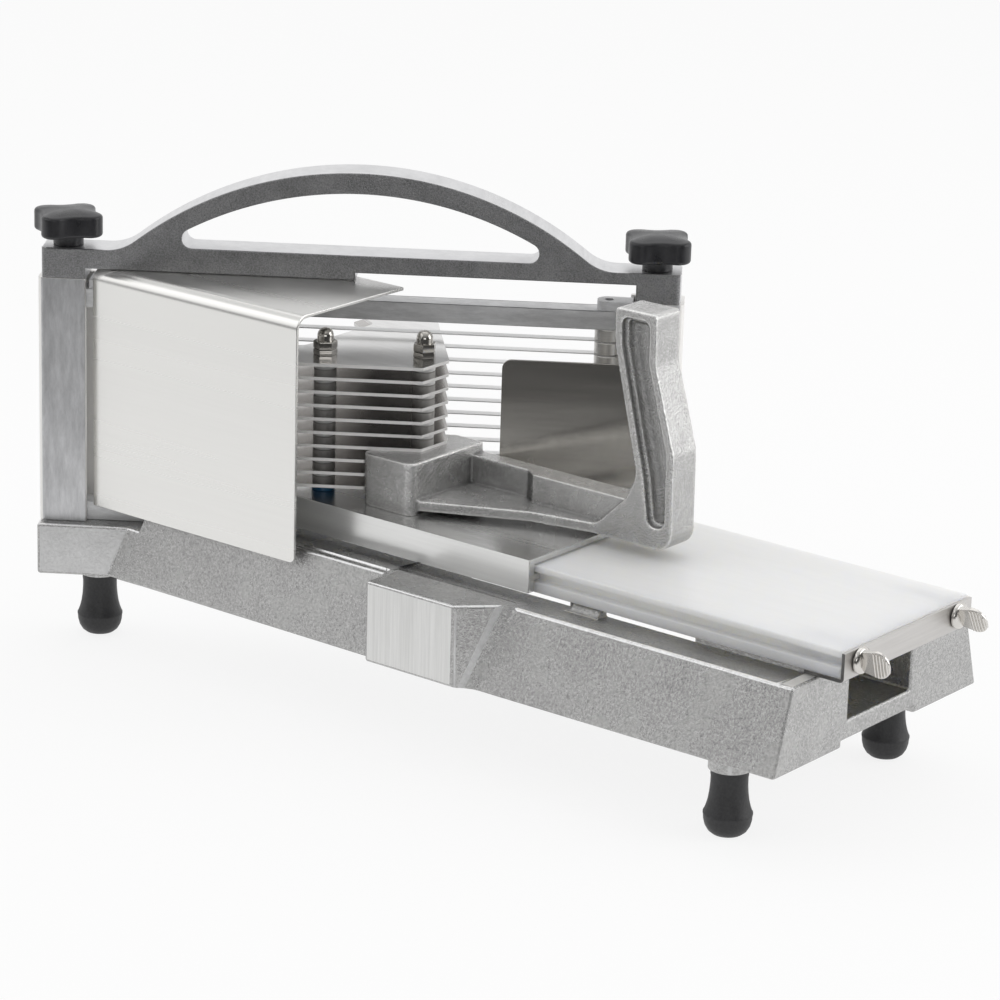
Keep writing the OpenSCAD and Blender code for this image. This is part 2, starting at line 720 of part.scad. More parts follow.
module blade(i) color("whitesmoke") framed()
    translate([0, 0, blade_z + (i - 1) * blade_pitch - blade_t / 2]) difference() {
        union() {
            translate([-tie_u, -blade_d / 2, 0]) cube([2 * tie_u, blade_d, blade_t]);
            both() translate([tie_u, 0, 0]) cylinder(d = 0.8 * stack_d, h = blade_t);
        }
        both() translate([tie_u, 0, -1]) cylinder(d = tie_d + 2 * fit, h = blade_t + 2);
    }
module blade_spacers(side) color("gainsboro") framed() translate([side * tie_u, 0, 0]) {
    translate([0, 0, seat_h + bar_h])
        ring(stack_d, tie_d + 2 * fit, blade_z - blade_t / 2 - seat_h - bar_h);
    for (i = [0:blades - 1]) translate([0, 0, blade_z + blade_t / 2 + i * blade_pitch])
        ring(stack_d, tie_d + 2 * fit, spacer_h);
}

// Board, end plate and thumb screws
module thumb_place(side)
    translate([plate_x, side * thumb_y, board_z + board_t / 2]) rotate([0, 90, 0]) children();
module board() color("white") placed() difference() {
    along(-frame_x - frame_w / 2, board_over) difference() {
        translate([-board_w / 2, board_z]) square([board_w, board_t]);
        both() translate([board_w / 2 - groove_d, board_z + groove_z]) square([groove_d + 1, groove_h]);
    }
    on_seat() translate([-frame_w, board_back, 0]) cube([2 * frame_w, frame_w, 2 * board_top]);
    for (side = [-1, 1]) thumb_place(side) translate([0, 0, -thumb_in - 2])
        cylinder(d = thumb_d + 2 * run, h = thumb_in + 3);
}
module end_plate() color("darkgray") placed() difference() {
    union() {
        along(board_over, plate_x) translate([-board_w / 2, board_z - sheet_t])
            square([board_w, plate_h]);
        along(plate_x - plate_lip, plate_x) translate([-board_w / 2, board_z - sheet_t])
            square([board_w, sheet_t]);
    }
    for (side = [-1, 1]) thumb_place(side) translate([0, 0, -thumb_in - 2])
        cylinder(d = thumb_d + 2 * run, h = thumb_in + 3);
}
module thumb_screw(side) color("silver") placed() thumb_place(side)
    rotate(side < 0 ? near_thumb_turn : far_thumb_turn) {
    translate([0, 0, -thumb_in]) cylinder(d = thumb_d, h = thumb_in + free);
    translate([0, 0, free]) cylinder(d = thumb_collar_d, h = thumb_collar_l);
    translate([0, thumb_wing_t / 2, free + thumb_collar_l]) rotate([90, 0, 0])
        linear_extrude(thumb_wing_t) polygon(rounded([
            [-thumb_wing_h * 0.3, 0],
            [thumb_wing_h * 0.3, 0],
            [thumb_wing_h / 2, 3],
            [thumb_wing_h / 2, thumb_wing_l],
            [-thumb_wing_h / 2, thumb_wing_l],
            [-thumb_wing_h / 2, 3]
        ], [0, 0, 2, 4, 4, 2]));
}

// Carriage that rides on the board
module carriage() color("lightgray") placed() difference() {
    along(-frame_x - frame_w / 2, carriage_front - pusher_x) difference() {
        translate([-carriage_w / 2, carriage_top - carriage_h]) square([carriage_w, carriage_h]);
        translate([-wall_in, carriage_top - carriage_h - 1])
            square([2 * wall_in, lip_z - carriage_top + carriage_h + 1]);
        translate([-lip_in, lip_z - 1]) square([2 * lip_in, lip_h + 2]);
        translate([-wall_in, lip_z + lip_h])
            square([2 * wall_in, carriage_top - carriage_t - lip_z - lip_h]);
    }
    on_seat() translate([-frame_w, -carriage_back, 0]) cube([2 * frame_w, frame_w, 2 * board_top]);
    for (p = concat(handle_screws_at, [near_bolt])) translate([p[0], p[1], carriage_top - carriage_t]) {
        cylinder(d1 = 2 * bolt_d - 1.5, d2 = bolt_d + 0.5, h = 2.4);
        translate([0, 0, -1]) cylinder(d = bolt_d + 2 * fit, h = carriage_t + 2);
    }
}

// Handle casting: block, arm and grip
module block_outline() intersection() {
    polygon(rounded([
        [-pusher_x - handle_block_l, handle_far - handle_block_w],
        [-pusher_x, handle_far - handle_block_w],
        [-pusher_x, handle_far],
        [-pusher_x - handle_block_l, handle_far]
    ], [handle_round, handle_round, 0, 0]));
    on_seat() translate([-frame_w / 2, -frame_w - 22.5]) square([frame_w, frame_w]);
}
module arm_outline() polygon([
    [-pusher_x - 2, handle_far - handle_block_w + 3],
    [-pusher_x + arm_waist, handle_far - grip_t - 6.5],
    [-pusher_x + arm_l, handle_far - grip_t],
    [-pusher_x + arm_l + 14, handle_far - grip_t],
    [-pusher_x + arm_l + 14, handle_far],
    [-pusher_x - 2, handle_far]
]);
module web_outline() polygon([
    [-pusher_x - 2, handle_far - arm_t],
    [-pusher_x + arm_step, handle_far - arm_t],
    [-pusher_x + arm_step + 6, handle_far - arm_t2],
    [-pusher_x + grip_foot - 24, handle_far - arm_t2],
    [-pusher_x + grip_foot - 24, handle_far],
    [-pusher_x - 2, handle_far]
]);
module grip_outline() translate([-pusher_x, carriage_top]) polygon(rounded([
    [grip_top - grip_w, grip_h],
    [grip_top, grip_h],
    [grip_top + 0.4, grip_bend],
    [grip_foot - 0.8, grip_knee],
    [grip_foot, arm_lift],
    [arm_l, arm_lift],
    [arm_l, arm_lift + arm_foot],
    [arm_l + 3, arm_lift + arm_foot + 1],
    [grip_foot - 25.5, arm_lift + arm_h + 2],
    [grip_foot - 20, grip_knee - 13],
    [grip_top + 0.8 - grip_w, grip_bend + 5]
], [2, 2, 12, 12, 8, 0, 0, 3, 8, 12, 12]));
module recess_outline() translate([-pusher_x, carriage_top]) polygon(rounded([
    [grip_top - grip_w + grip_rim, grip_h - grip_rim],
    [grip_top - grip_rim, grip_h - grip_rim],
    [grip_top + 0.4 - grip_rim, grip_bend - 0.5],
    [grip_foot - 0.8 - grip_rim, grip_knee - 0.5],
    [grip_foot - 0.4 - grip_rim, arm_lift + 10],
    [grip_foot - 13, arm_lift + 10],
    [grip_foot - 20 + grip_rim, grip_knee - 13],
    [grip_top + 0.8 - grip_w + grip_rim, grip_bend + 5]
], [3, 3, 12, 12, 4, 4, 8, 12]));
module handle() color("silver") placed() difference() {
    union() {
        translate([0, 0, carriage_top]) linear_extrude(block_top - carriage_top) block_outline();
        translate([0, 0, carriage_top + arm_lift]) {
            linear_extrude(arm_foot) arm_outline();
            linear_extrude(arm_h) web_outline();
        }
        upright(handle_far - grip_t, handle_far) grip_outline();
        translate([-pusher_x + stub_x, handle_far - grip_t / 2, carriage_top + arm_lift - stub_h])
            cylinder(d = stub_d, h = stub_h + 2);
    }
    upright(handle_far - grip_t - 1, handle_far - grip_t + grip_recess) recess_outline();
    for (p = handle_screws_at) translate([p[0], p[1], carriage_top - 1])
        cylinder(d = bolt_d + 2 * fit, h = 16);
    translate([far_bolt[0], far_bolt[1], block_top - 14]) cylinder(d = bolt_d + 2 * fit, h = 15);
    shield_screw_places() cylinder(d = sheet_screw_d + 2 * fit, h = sheet_t + sheet_screw_in + 1);
}
module handle_screws() color("gray") placed() for (p = handle_screws_at)
    translate([p[0], p[1], carriage_top - carriage_t]) {
        cylinder(d1 = 2 * bolt_d - 2, d2 = bolt_d, h = 2.2);
        cylinder(d = bolt_d, h = carriage_t + 13);
    }

// Fins, their bolts, spacers and nuts
module fin_outline() polygon(rounded([
    [-pusher_x - fin_end, ((frame_x - pusher_x - fin_end) * turn[1] - fin_back) / turn[0]],
    [-pusher_x - fin_end, -5.8],
    [-pusher_x - fin_end - 53.7, fin_far],
    [-pusher_x - fin_tip, fin_far],
    [-pusher_x - fin_tip, fin_far - 19],
    [-pusher_x - fin_tip + fin_notch - 1, 17.5],
    [-pusher_x - fin_tip + fin_notch, -33],
    [-pusher_x - fin_tip, -46],
    [-pusher_x - fin_tip, -fin_near],
    [-frame_x + (fin_back - fin_near * turn[0]) / turn[1], -fin_near]
], [2, 2, 8, 4, 3, 4, 4, 3, 4, 4]));
module fin(i) color("gainsboro") placed()
    translate([0, 0, fin_z + (i - 1) * blade_pitch - fin_t / 2]) difference() {
        linear_extrude(fin_t) fin_outline();
        for (p = [near_bolt, far_bolt]) translate([p[0], p[1], -1])
            cylinder(d = bolt_d + 2 * fit, h = fin_t + 2);
        if (i <= short_fins) translate([-pusher_x - handle_block_l - fin_clear, -frame_w / 2, -1])
            cube([frame_w, frame_w, fin_t + 2]);
    }
module fin_spacers(at, low) color("silver") placed() for (i = [low:fins - 1])
    translate([at[0], at[1], fin_z + (i - 1) * blade_pitch + fin_t / 2])
        ring(fin_spacer_d, bolt_d + 2 * fit, fin_spacer_h);
module fin_bolt_near() color("gray") placed()
    translate([near_bolt[0], near_bolt[1], carriage_top - carriage_t]) {
        cylinder(d1 = 2 * bolt_d - 2, d2 = bolt_d, h = 2.2);
        cylinder(d = bolt_d, h = fins_top + jam_h + 4 - carriage_top + carriage_t);
    }
module fin_bolt_far() color("gray") placed() translate([far_bolt[0], far_bolt[1], block_top - 13])
    cylinder(d = bolt_d, h = fins_top + jam_h + 4 - block_top + 13);
module nylon_spacer() color("royalblue") placed() translate([near_bolt[0], near_bolt[1], carriage_top])
    ring(fin_spacer_d + 0.4, bolt_d + 2 * fit, fin_z - fin_t / 2 - carriage_top);
module jam_nuts() color("silver") placed() for (p = [near_bolt, far_bolt])
    translate([p[0], p[1], fins_top]) difference() {
        cylinder(d = nut_w / cos(30), h = jam_h, $fn = 6);
        translate([0, 0, -1]) cylinder(d = bolt_d + 2 * fit, h = jam_h + 2);
    }
module cap_nuts() color("silver") placed() for (p = [near_bolt, far_bolt])
    translate([p[0], p[1], fins_top + jam_h]) difference() {
        union() {
            cylinder(d = nut_w / cos(30), h = 0.4 * cap_h, $fn = 6);
            cylinder(d = 0.81 * nut_w, h = cap_h - 0.405 * nut_w);
            translate([0, 0, cap_h - 0.405 * nut_w]) sphere(d = 0.81 * nut_w);
        }
        translate([0, 0, -1]) cylinder(d = bolt_d + 2 * fit, h = 5.2);
    }

base();
foot(0);  // foot_1
foot(1);  // foot_2
foot(2);  // foot_3
foot(3);  // foot_4
foot_studs();
post_near();
post_far();
post_screws();
arch();
knob(-1);  // knob_near
knob(1);  // knob_far
knob_stud(-1);  // knob_stud_near
knob_stud(1);  // knob_stud_far
guard();
guard_screws();
hand_shield();
shield_screws();
top_bar();
bottom_bar();
tie_rods();
blade(1);  // blade_1
blade(2);  // blade_2
blade(3);  // blade_3
blade(4);  // blade_4
blade(5);  // blade_5
blade(6);  // blade_6
blade(7);  // blade_7
blade(8);  // blade_8
blade(9);  // blade_9
blade(10);  // blade_10
blade(11);  // blade_11
blade_spacers(-1);  // blade_spacers_near
blade_spacers(1);  // blade_spacers_far
board();
end_plate();
thumb_screw(-1);  // thumb_screw_near
thumb_screw(1);  // thumb_screw_far
carriage();
handle();
handle_screws();
fin(1);  // fin_1
fin(2);  // fin_2
fin(3);  // fin_3
fin(4);  // fin_4
fin(5);  // fin_5
fin(6);  // fin_6
fin(7);  // fin_7
fin(8);  // fin_8
fin(9);  // fin_9
fin(10);  // fin_10
fin_spacers(near_bolt, 1);  // fin_spacers_near
fin_spacers(far_bolt, short_fins + 1);  // fin_spacers_far
fin_bolt_near();
fin_bolt_far();
nylon_spacer();
jam_nuts();
cap_nuts();
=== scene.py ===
import json
import math

import bmesh
import bpy
from mathutils import Matrix, Vector

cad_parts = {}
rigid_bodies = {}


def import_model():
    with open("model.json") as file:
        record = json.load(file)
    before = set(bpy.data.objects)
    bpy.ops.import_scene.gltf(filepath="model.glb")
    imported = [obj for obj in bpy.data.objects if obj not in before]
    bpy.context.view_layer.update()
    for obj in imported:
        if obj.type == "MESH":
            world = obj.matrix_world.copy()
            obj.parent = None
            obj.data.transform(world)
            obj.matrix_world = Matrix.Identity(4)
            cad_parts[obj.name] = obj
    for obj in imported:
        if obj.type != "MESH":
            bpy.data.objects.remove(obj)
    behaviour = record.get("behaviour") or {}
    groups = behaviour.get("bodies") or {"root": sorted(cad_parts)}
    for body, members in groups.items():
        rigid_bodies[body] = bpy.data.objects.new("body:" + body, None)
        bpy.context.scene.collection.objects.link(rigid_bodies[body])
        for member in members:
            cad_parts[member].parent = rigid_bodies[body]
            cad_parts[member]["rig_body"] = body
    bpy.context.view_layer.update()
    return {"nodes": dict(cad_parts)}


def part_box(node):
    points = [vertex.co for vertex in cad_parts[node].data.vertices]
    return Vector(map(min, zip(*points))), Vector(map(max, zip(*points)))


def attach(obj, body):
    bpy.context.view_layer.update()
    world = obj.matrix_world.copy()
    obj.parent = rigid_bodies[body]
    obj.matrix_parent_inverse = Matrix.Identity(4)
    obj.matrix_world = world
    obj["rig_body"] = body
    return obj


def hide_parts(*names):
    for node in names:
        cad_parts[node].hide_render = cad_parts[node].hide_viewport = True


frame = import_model()

# Base casting
# One sand casting in aluminium carries everything: two drafted rails, an end wall with a slot, a slanted
# seat and a pad on the near side. It is shot blasted and the pad's face is ground flat. Its rounded upper
# edges carry a painted highlight, and the rail tops at the end carry painted light.
end_face_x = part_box("base")[1].x
track_y = (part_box("board")[0].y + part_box("board")[1].y) / 2
slant = math.radians(34.64)
across = Vector((-math.sin(slant), math.cos(slant), 0))


def solid_copy(node):
    bm = bmesh.new()
    bm.from_mesh(frame["nodes"][node].data)
    bmesh.ops.remove_doubles(bm, verts=bm.verts, dist=2e-6)
    bmesh.ops.dissolve_limit(bm, angle_limit=math.radians(0.5), verts=bm.verts, edges=bm.edges)
    return bm


def bevelled(bm, edges, width, segments):
    return bmesh.ops.bevel(bm, geom=edges, offset=width, offset_type="OFFSET", affect="EDGES",
                           segments=segments, profile=0.5, material=-1, clamp_overlap=False)["faces"]


def round_edges(bm, width, segments, shortest=0.003, wanted=lambda e: True):
    edges = [e for e in bm.edges if e.is_manifold and e.calc_face_angle() > math.radians(25)
             and e.calc_length() > shortest and wanted(e)]
    return bevelled(bm, edges, width, segments)


def rise_of(edge):
    return abs(edge.verts[0].co.z - edge.verts[1].co.z)


def set_piece(bm, name, nodes, *finishes, sharp=34):
    mesh = bpy.data.meshes.new(name)
    bm.to_mesh(mesh)
    bm.free()
    mesh.shade_smooth()
    mesh.set_sharp_from_angle(angle=math.radians(sharp))
    for finish in finishes:
        mesh.materials.append(finish)
    piece = bpy.data.objects.new(name, mesh)
    bpy.context.scene.collection.objects.link(piece)
    piece.modifiers.new("even_normals", "WEIGHTED_NORMAL").keep_sharp = True
    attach(piece, frame["nodes"][nodes[0]]["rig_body"])
    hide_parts(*nodes)
    return piece


def effect_group(name, inputs, outputs):
    tree = bpy.data.node_groups.new(name, "ShaderNodeTree")
    for label, kind, value in inputs:
        tree.interface.new_socket(label, in_out="INPUT", socket_type=kind).default_value = value
    for label in outputs:
        tree.interface.new_socket(label, in_out="OUTPUT", socket_type="NodeSocketFloat")
    return tree, tree.nodes.new("NodeGroupInput").outputs, tree.nodes.new("NodeGroupOutput").inputs


def spread(tree, value, low, high, to_low=0.0, to_high=1.0):
    node = tree.nodes.new("ShaderNodeMapRange")
    tree.links.new(value, node.inputs["Value"])
    for label, number in (("From Min", low), ("From Max", high), ("To Min", to_low), ("To Max", to_high)):
        node.inputs[label].default_value = number
    return node.outputs["Result"]


def noise(tree, vector, scale, detail, roughness=0.55):
    node = tree.nodes.new("ShaderNodeTexNoise")
    tree.links.new(vector, node.inputs["Vector"])
    if isinstance(scale, bpy.types.NodeSocket):
        tree.links.new(scale, node.inputs["Scale"])
    else:
        node.inputs["Scale"].default_value = scale
    node.inputs["Detail"].default_value = detail
    node.inputs["Roughness"].default_value = roughness
    return node.outputs["Fac"]


blast, given, out = effect_group("blasted_skin", [("Grain size", "NodeSocketFloat", 1500.0),
                                                  ("Patch size", "NodeSocketFloat", 60.0)],
                                 ["Grain", "Patch"])
coords = blast.nodes.new("ShaderNodeTexCoord").outputs["Object"]
grain = noise(blast, coords, given["Grain size"], 3, 0.7)
blast.links.new(spread(blast, grain, 0.32, 0.68), out["Grain"])
patches = noise(blast, coords, given["Patch size"], 4)
blast.links.new(spread(blast, patches, 0.35, 0.65), out["Patch"])

streaks, given, out = effect_group("brushed_lines", [("Stretch", "NodeSocketVector", (20, 900, 900))],
                                   ["Lines", "Patch"])
stretch = streaks.nodes.new("ShaderNodeMapping")
streaks.links.new(streaks.nodes.new("ShaderNodeTexCoord").outputs["Object"], stretch.inputs["Vector"])
streaks.links.new(given["Stretch"], stretch.inputs["Scale"])
lines = noise(streaks, stretch.outputs["Vector"], 1.0, 5, 0.75)
streaks.links.new(spread(streaks, lines, 0.3, 0.7), out["Lines"])
patches = noise(streaks, stretch.outputs["Vector"], 0.06, 3)
streaks.links.new(spread(streaks, patches, 0.35, 0.65), out["Patch"])


def metal(name, group, settings, dark, light, rough, bump, patch=0.35, metallic=1.0):
    finish = bpy.data.materials.new(name)
    finish.use_nodes = True
    tree = finish.node_tree
    shader = tree.nodes["Principled BSDF"]
    shader.inputs["Metallic"].default_value = metallic
    skin = tree.nodes.new("ShaderNodeGroup")
    skin.node_tree = group
    for label, value in settings.items():
        skin.inputs[label].default_value = value
    fine, broad = skin.outputs[0], skin.outputs["Patch"]
    both = tree.nodes.new("ShaderNodeMix")
    both.data_type = "FLOAT"
    both.inputs["Factor"].default_value = patch
    tree.links.new(fine, both.inputs[2])
    tree.links.new(broad, both.inputs[3])
    tone = tree.nodes.new("ShaderNodeMix")
    tone.data_type = "RGBA"
    tone.inputs[6].default_value = (*dark, 1)
    tone.inputs[7].default_value = (*light, 1)
    tree.links.new(both.outputs[0], tone.inputs["Factor"])
    tree.links.new(tone.outputs[2], shader.inputs["Base Color"])
    tree.links.new(spread(tree, broad, 0, 1, *rough), shader.inputs["Roughness"])
    relief = tree.nodes.new("ShaderNodeBump")
    relief.inputs["Strength"].default_value, relief.inputs["Distance"].default_value = bump
    tree.links.new(fine, relief.inputs["Height"])
    tree.links.new(relief.outputs["Normal"], shader.inputs["Normal"])
    return finish


cast_skin = metal("cast_skin", blast, {"Grain size": 850, "Patch size": 45}, (0.34, 0.338, 0.336),
                  (0.60, 0.598, 0.59), rough=(0.22, 0.30), bump=(0.5, 0.0004), patch=0.2)
ground_pad = metal("ground_pad", streaks, {"Stretch": (900, 900, 22)}, (0.62, 0.62, 0.61),
                   (0.84, 0.84, 0.83), rough=(0.36, 0.5), bump=(0.12, 0.0002), patch=0.4)
seat_skin = metal("seat_skin", blast, {"Grain size": 700, "Patch size": 60}, (0.48, 0.48, 0.48),
                  (0.68, 0.68, 0.68), rough=(0.34, 0.44), bump=(0.3, 0.0003), patch=0.5)
# Lighter copy of the cast finish for the flat rail tops near the end: painted light.
rail_top_painted_light = metal("rail_top_painted_light", blast, {"Grain size": 700, "Patch size": 70}, (0.68, 0.67, 0.65),
                 (0.86, 0.85, 0.83), rough=(0.36, 0.48), bump=(0.25, 0.0003), patch=0.6, metallic=0.7)
# Rim finish: a lighter, smoother copy of the cast finish for the rounded upper edges, a painted highlight.
rim_highlight = metal("rim_highlight", blast, {"Grain size": 900, "Patch size": 160}, (0.56, 0.56, 0.56),
                 (0.88, 0.88, 0.88), rough=(0.22, 0.34), bump=(0.15, 0.0002), patch=0.5)
base_finishes = [cast_skin, ground_pad, seat_skin, rail_top_painted_light, rim_highlight]

bm = solid_copy("base")
pad_x, pad_half, pad_corner_x = end_face_x - 0.1926, 0.03, end_face_x - 0.156
rail_x, rail_inside, rail_z = end_face_x - 0.15, 0.055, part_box("board")[0].z - 0.012
round_edges(bm, 0.005, 6, 0.03, lambda e: not e.is_convex and rise_of(e) > 0.03
            and abs((e.verts[0].co.x + e.verts[1].co.x) / 2 - pad_corner_x) < 0.008)
rounded = set(round_edges(bm, 0.0013, 3))
pad_y = min(v.co.y for v in bm.verts if v.co.x > end_face_x - 0.22)
for face in bm.faces:
    middle = face.calc_center_median()
    finish = cast_skin
    if face.normal.y < -0.99 and middle.y < pad_y + 0.0005 and abs(middle.x - pad_x) < pad_half:
        finish = ground_pad
    elif face.normal.dot(across) < -0.99:
        finish = seat_skin
    # Rounded upper edges of the outer walls get the rim finish: painted highlight.
    elif face in rounded and 0.4 < face.normal.z < 0.97 and abs(middle.y - track_y) > rail_inside:
        finish = rim_highlight
    # Flat tops of the rails near the end get the lighter finish: painted light.
    elif face.normal.z > 0.98 and middle.x > rail_x and middle.z > rail_z:
        finish = rail_top_painted_light
    face.material_index = base_finishes.index(finish)
set_piece(bm, "base_casting", ["base"], *base_finishes)

# Feet and their studs
# Four moulded black rubber feet with a waisted neck, a moulding rim and a round bottom. Each is pressed on
# a steel stud that is screwed into a boss under the casting.
millimetres = Matrix.Scale(0.001, 4)


def plastic(name, group, settings, dark, light, rough, bump):
    return metal(name, group, settings, dark, light, rough, bump, patch=0.5, metallic=0.0)


def turned(bm, profile, steps):
    verts = [bm.verts.new((r, 0, z)) for r, z in profile]
    edges = [bm.edges.new(pair) for pair in zip(verts, verts[1:])]
    bmesh.ops.spin(bm, geom=verts + edges, axis=(0, 0, 1), cent=(0, 0, 0), angle=2 * math.pi,
                   steps=steps, use_merge=True, use_duplicate=False)
    bmesh.ops.remove_doubles(bm, verts=bm.verts, dist=1e-5)
    bmesh.ops.recalc_face_normals(bm, faces=bm.faces)


def middle_of(node):
    low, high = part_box(node)
    return (low + high) / 2


def upright_at(node):
    centre = middle_of(node)
    return Matrix.Translation((centre.x, centre.y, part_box(node)[0].z)) @ millimetres


def keep_node(node, finish):
    data = frame["nodes"][node].data
    data.materials.clear()
    data.materials.append(finish)


foot_rubber = plastic("foot_rubber", blast, {"Grain size": 900, "Patch size": 90}, (0.012, 0.012, 0.013),
                      (0.04, 0.04, 0.042), rough=(0.42, 0.6), bump=(0.12, 0.0002))
fastener_steel = metal("fastener_steel", streaks, {"Stretch": (500, 500, 500)}, (0.42, 0.42, 0.42),
                       (0.62, 0.62, 0.62), rough=(0.28, 0.42), bump=(0.05, 0.0001))
foot_profile = [(0, 0), (5.2, 0), (6.8, 0.5), (8.5, 1.9), (9.8, 4.1), (10.45, 6.6), (10.6, 8.6),
                (10.75, 9.2), (10.75, 9.9), (10.4, 10.4), (9.6, 12.6), (8.9, 15.4), (8.4, 18.8),
                (8.1, 22.6), (8.05, 26.2), (8.25, 27.2), (8.25, 29.6), (7.9, 30), (3.4, 30), (3.4, 15),
                (0, 15)]
for foot in ("foot_1", "foot_2", "foot_3", "foot_4"):
    bm = bmesh.new()
    turned(bm, foot_profile, 56)
    bm.transform(upright_at(foot))
    set_piece(bm, "rubber_" + foot, [foot], foot_rubber, sharp=40)
keep_node("foot_studs", fastener_steel)

# Posts
# Two extruded aluminium posts with a groove for the blade bars, a rounded front corner and grey oxide on
# their faces. Each is held to the seat by one screw from below.
post_skin = metal("post_skin", streaks, {"Stretch": (260, 260, 60)}, (0.42, 0.422, 0.432),
                  (0.84, 0.842, 0.855), rough=(0.38, 0.5), bump=(0.12, 0.0002), patch=0.45, metallic=0.85)
# Lighter copy of the post finish for the side and back faces: painted light.
post_side_painted_light = metal("post_side_painted_light", streaks, {"Stretch": (260, 260, 30)}, (0.80, 0.79, 0.77),
                  (0.94, 0.93, 0.91), rough=(0.38, 0.5), bump=(0.06, 0.0002), patch=0.4, metallic=0.65)
for post in ("post_near", "post_far"):
    bm = solid_copy(post)
    round_edges(bm, 0.0005, 2)
    behind = middle_of(post).dot(across) + 0.003
    # Faces other than the front get the lighter copy: painted light on the sides.
    for face in bm.faces:
        face.material_index = int(abs(face.normal.dot(across)) < 0.9
                                  or face.calc_center_median().dot(across) > behind)
    set_piece(bm, post + "_extrusion", [post], post_skin, post_side_painted_light)
keep_node("post_screws", fastener_steel)

# Bridge
# An arched aluminium casting over the blades with a hand slot. Its faces keep a dark blasted skin, and the
# top, the ends and the slot are ground bright; on its rounded edges the bright finish is a painted
# highlight. The knobs clamp it on the posts.
bridge_skin = metal("bridge_skin", blast, {"Grain size": 1500, "Patch size": 80}, (0.15, 0.15, 0.152),
                    (0.39, 0.39, 0.395), rough=(0.4, 0.5), bump=(0.4, 0.0003), patch=0.25)
# Ground finish for the top, the ends and the slot; on the rounded edges it is a painted highlight.
bridge_ground_edge_highlight = metal("bridge_ground_edge_highlight", streaks, {"Stretch": (60, 60, 700)}, (0.58, 0.58, 0.59),
                      (0.82, 0.82, 0.83), rough=(0.25, 0.4), bump=(0.06, 0.0002), patch=0.4)
along = Vector((across.y, -across.x, 0))
bridge_middle = middle_of("arch")


def at_bridge_end(edge):
    return abs((edge.verts[0].co - bridge_middle).dot(along)) > 0.145


bm = solid_copy("arch")
round_edges(bm, 0.0026, 5, 0.009, lambda e: at_bridge_end(e) and rise_of(e) > 0.009)
round_edges(bm, 0.0008, 3, 0.001, lambda e: at_bridge_end(e)
            or sum(abs(f.normal.dot(across)) > 0.9 for f in e.link_faces) == 1)
# Faces not facing along the blades get the ground finish, so the rounded edges show a painted highlight.
for face in bm.faces:
    face.material_index = int(abs(face.normal.dot(across)) < 0.6)
set_piece(bm, "bridge", ["arch"], bridge_skin, bridge_ground_edge_highlight)

# Knobs and their studs
# Two knobs moulded in black plastic with four soft lobes and a crowned top, each on a steel stud that goes
# through the bridge into its post.
knob_black = plastic("knob_black", blast, {"Grain size": 2200, "Patch size": 120}, (0.012, 0.012, 0.014),
                     (0.03, 0.03, 0.034), rough=(0.26, 0.38), bump=(0.1, 0.0001))
lobe_at, lobe_radius, lobe_reach = 11.75, 6.0, 0.366
hollow_at, hollow_radius = 30.57, 17.76


def knob_outline(angle):
    lobe = abs(angle % (math.pi / 2) - math.pi / 4)
    if lobe < lobe_reach:
        return lobe_at * math.cos(lobe) + math.sqrt(lobe_radius ** 2 - (lobe_at * math.sin(lobe)) ** 2)
    hollow = math.pi / 4 - lobe
    return hollow_at * math.cos(hollow) - math.sqrt(hollow_radius ** 2 - (hollow_at * math.sin(hollow)) ** 2)


def thickened(bm, vector):
    copy = bmesh.ops.extrude_face_region(bm, geom=bm.faces[:])["geom"]
    bmesh.ops.translate(bm, vec=vector, verts=[g for g in copy if isinstance(g, bmesh.types.BMVert)])
    bmesh.ops.recalc_face_normals(bm, faces=bm.faces)


def joined(bm, part, matrix=Matrix()):
    part.transform(matrix)
    mesh = bpy.data.meshes.new("part")
    part.to_mesh(mesh)
    part.free()
    bm.from_mesh(mesh)
    bpy.data.meshes.remove(mesh)


for knob, turn in (("knob_near", 21), ("knob_far", 7)):
    bm = bmesh.new()
    bmesh.ops.create_circle(bm, cap_ends=True, segments=120, radius=1)
    for v in bm.verts:
        v.co *= knob_outline(math.atan2(v.co.y, v.co.x) - slant - math.radians(turn))
    thickened(bm, (0, 0, 10.4))
    bevelled(bm, [e for e in bm.edges if rise_of(e) < 1e-6], 1.7, 6)
    top = [f for f in bm.faces if f.normal.z > 0.99 and len(f.verts) > 8]
    for narrower, rise in ((0.86, 0.5), (0.75, 0.45), (0.6, 0.25), (0.4, 0.1)):
        bmesh.ops.inset_region(bm, faces=top, thickness=1e-4)
        crown = list({v for f in top for v in f.verts})
        bmesh.ops.scale(bm, vec=(narrower, narrower, 1), verts=crown)
        bmesh.ops.translate(bm, vec=(0, 0, rise), verts=crown)
    bm.transform(Matrix.Translation((0, 0, 4.9)))
    neck = bmesh.new()
    turned(neck, [(4.2, 0), (7, 0), (7, 3.6), (7.6, 4.6), (9, 5.2), (4.2, 5.2), (4.2, 0)], 48)
    joined(bm, neck)
    bm.transform(upright_at(knob))
    set_piece(bm, knob + "_moulding", [knob], knob_black, sharp=50)
for node in ("knob_stud_near", "knob_stud_far"):
    keep_node(node, fastener_steel)

# Guard
# A sheet of satin stainless steel, bent once: its side hangs beside the blades and its top flange is cut
# along the frame and screwed under the bridge.
satin_sheet = metal("satin_sheet", streaks, {"Stretch": (14, 900, 700)}, (0.775, 0.77, 0.75),
                    (0.825, 0.82, 0.80), rough=(0.25, 0.32), bump=(0.02, 0.0001), patch=0.6)
bm = solid_copy("guard")
round_edges(bm, 0.0003, 2, 0.0006)
set_piece(bm, "guard_sheet", ["guard"], satin_sheet, sharp=20)
keep_node("guard_screws", fastener_steel)

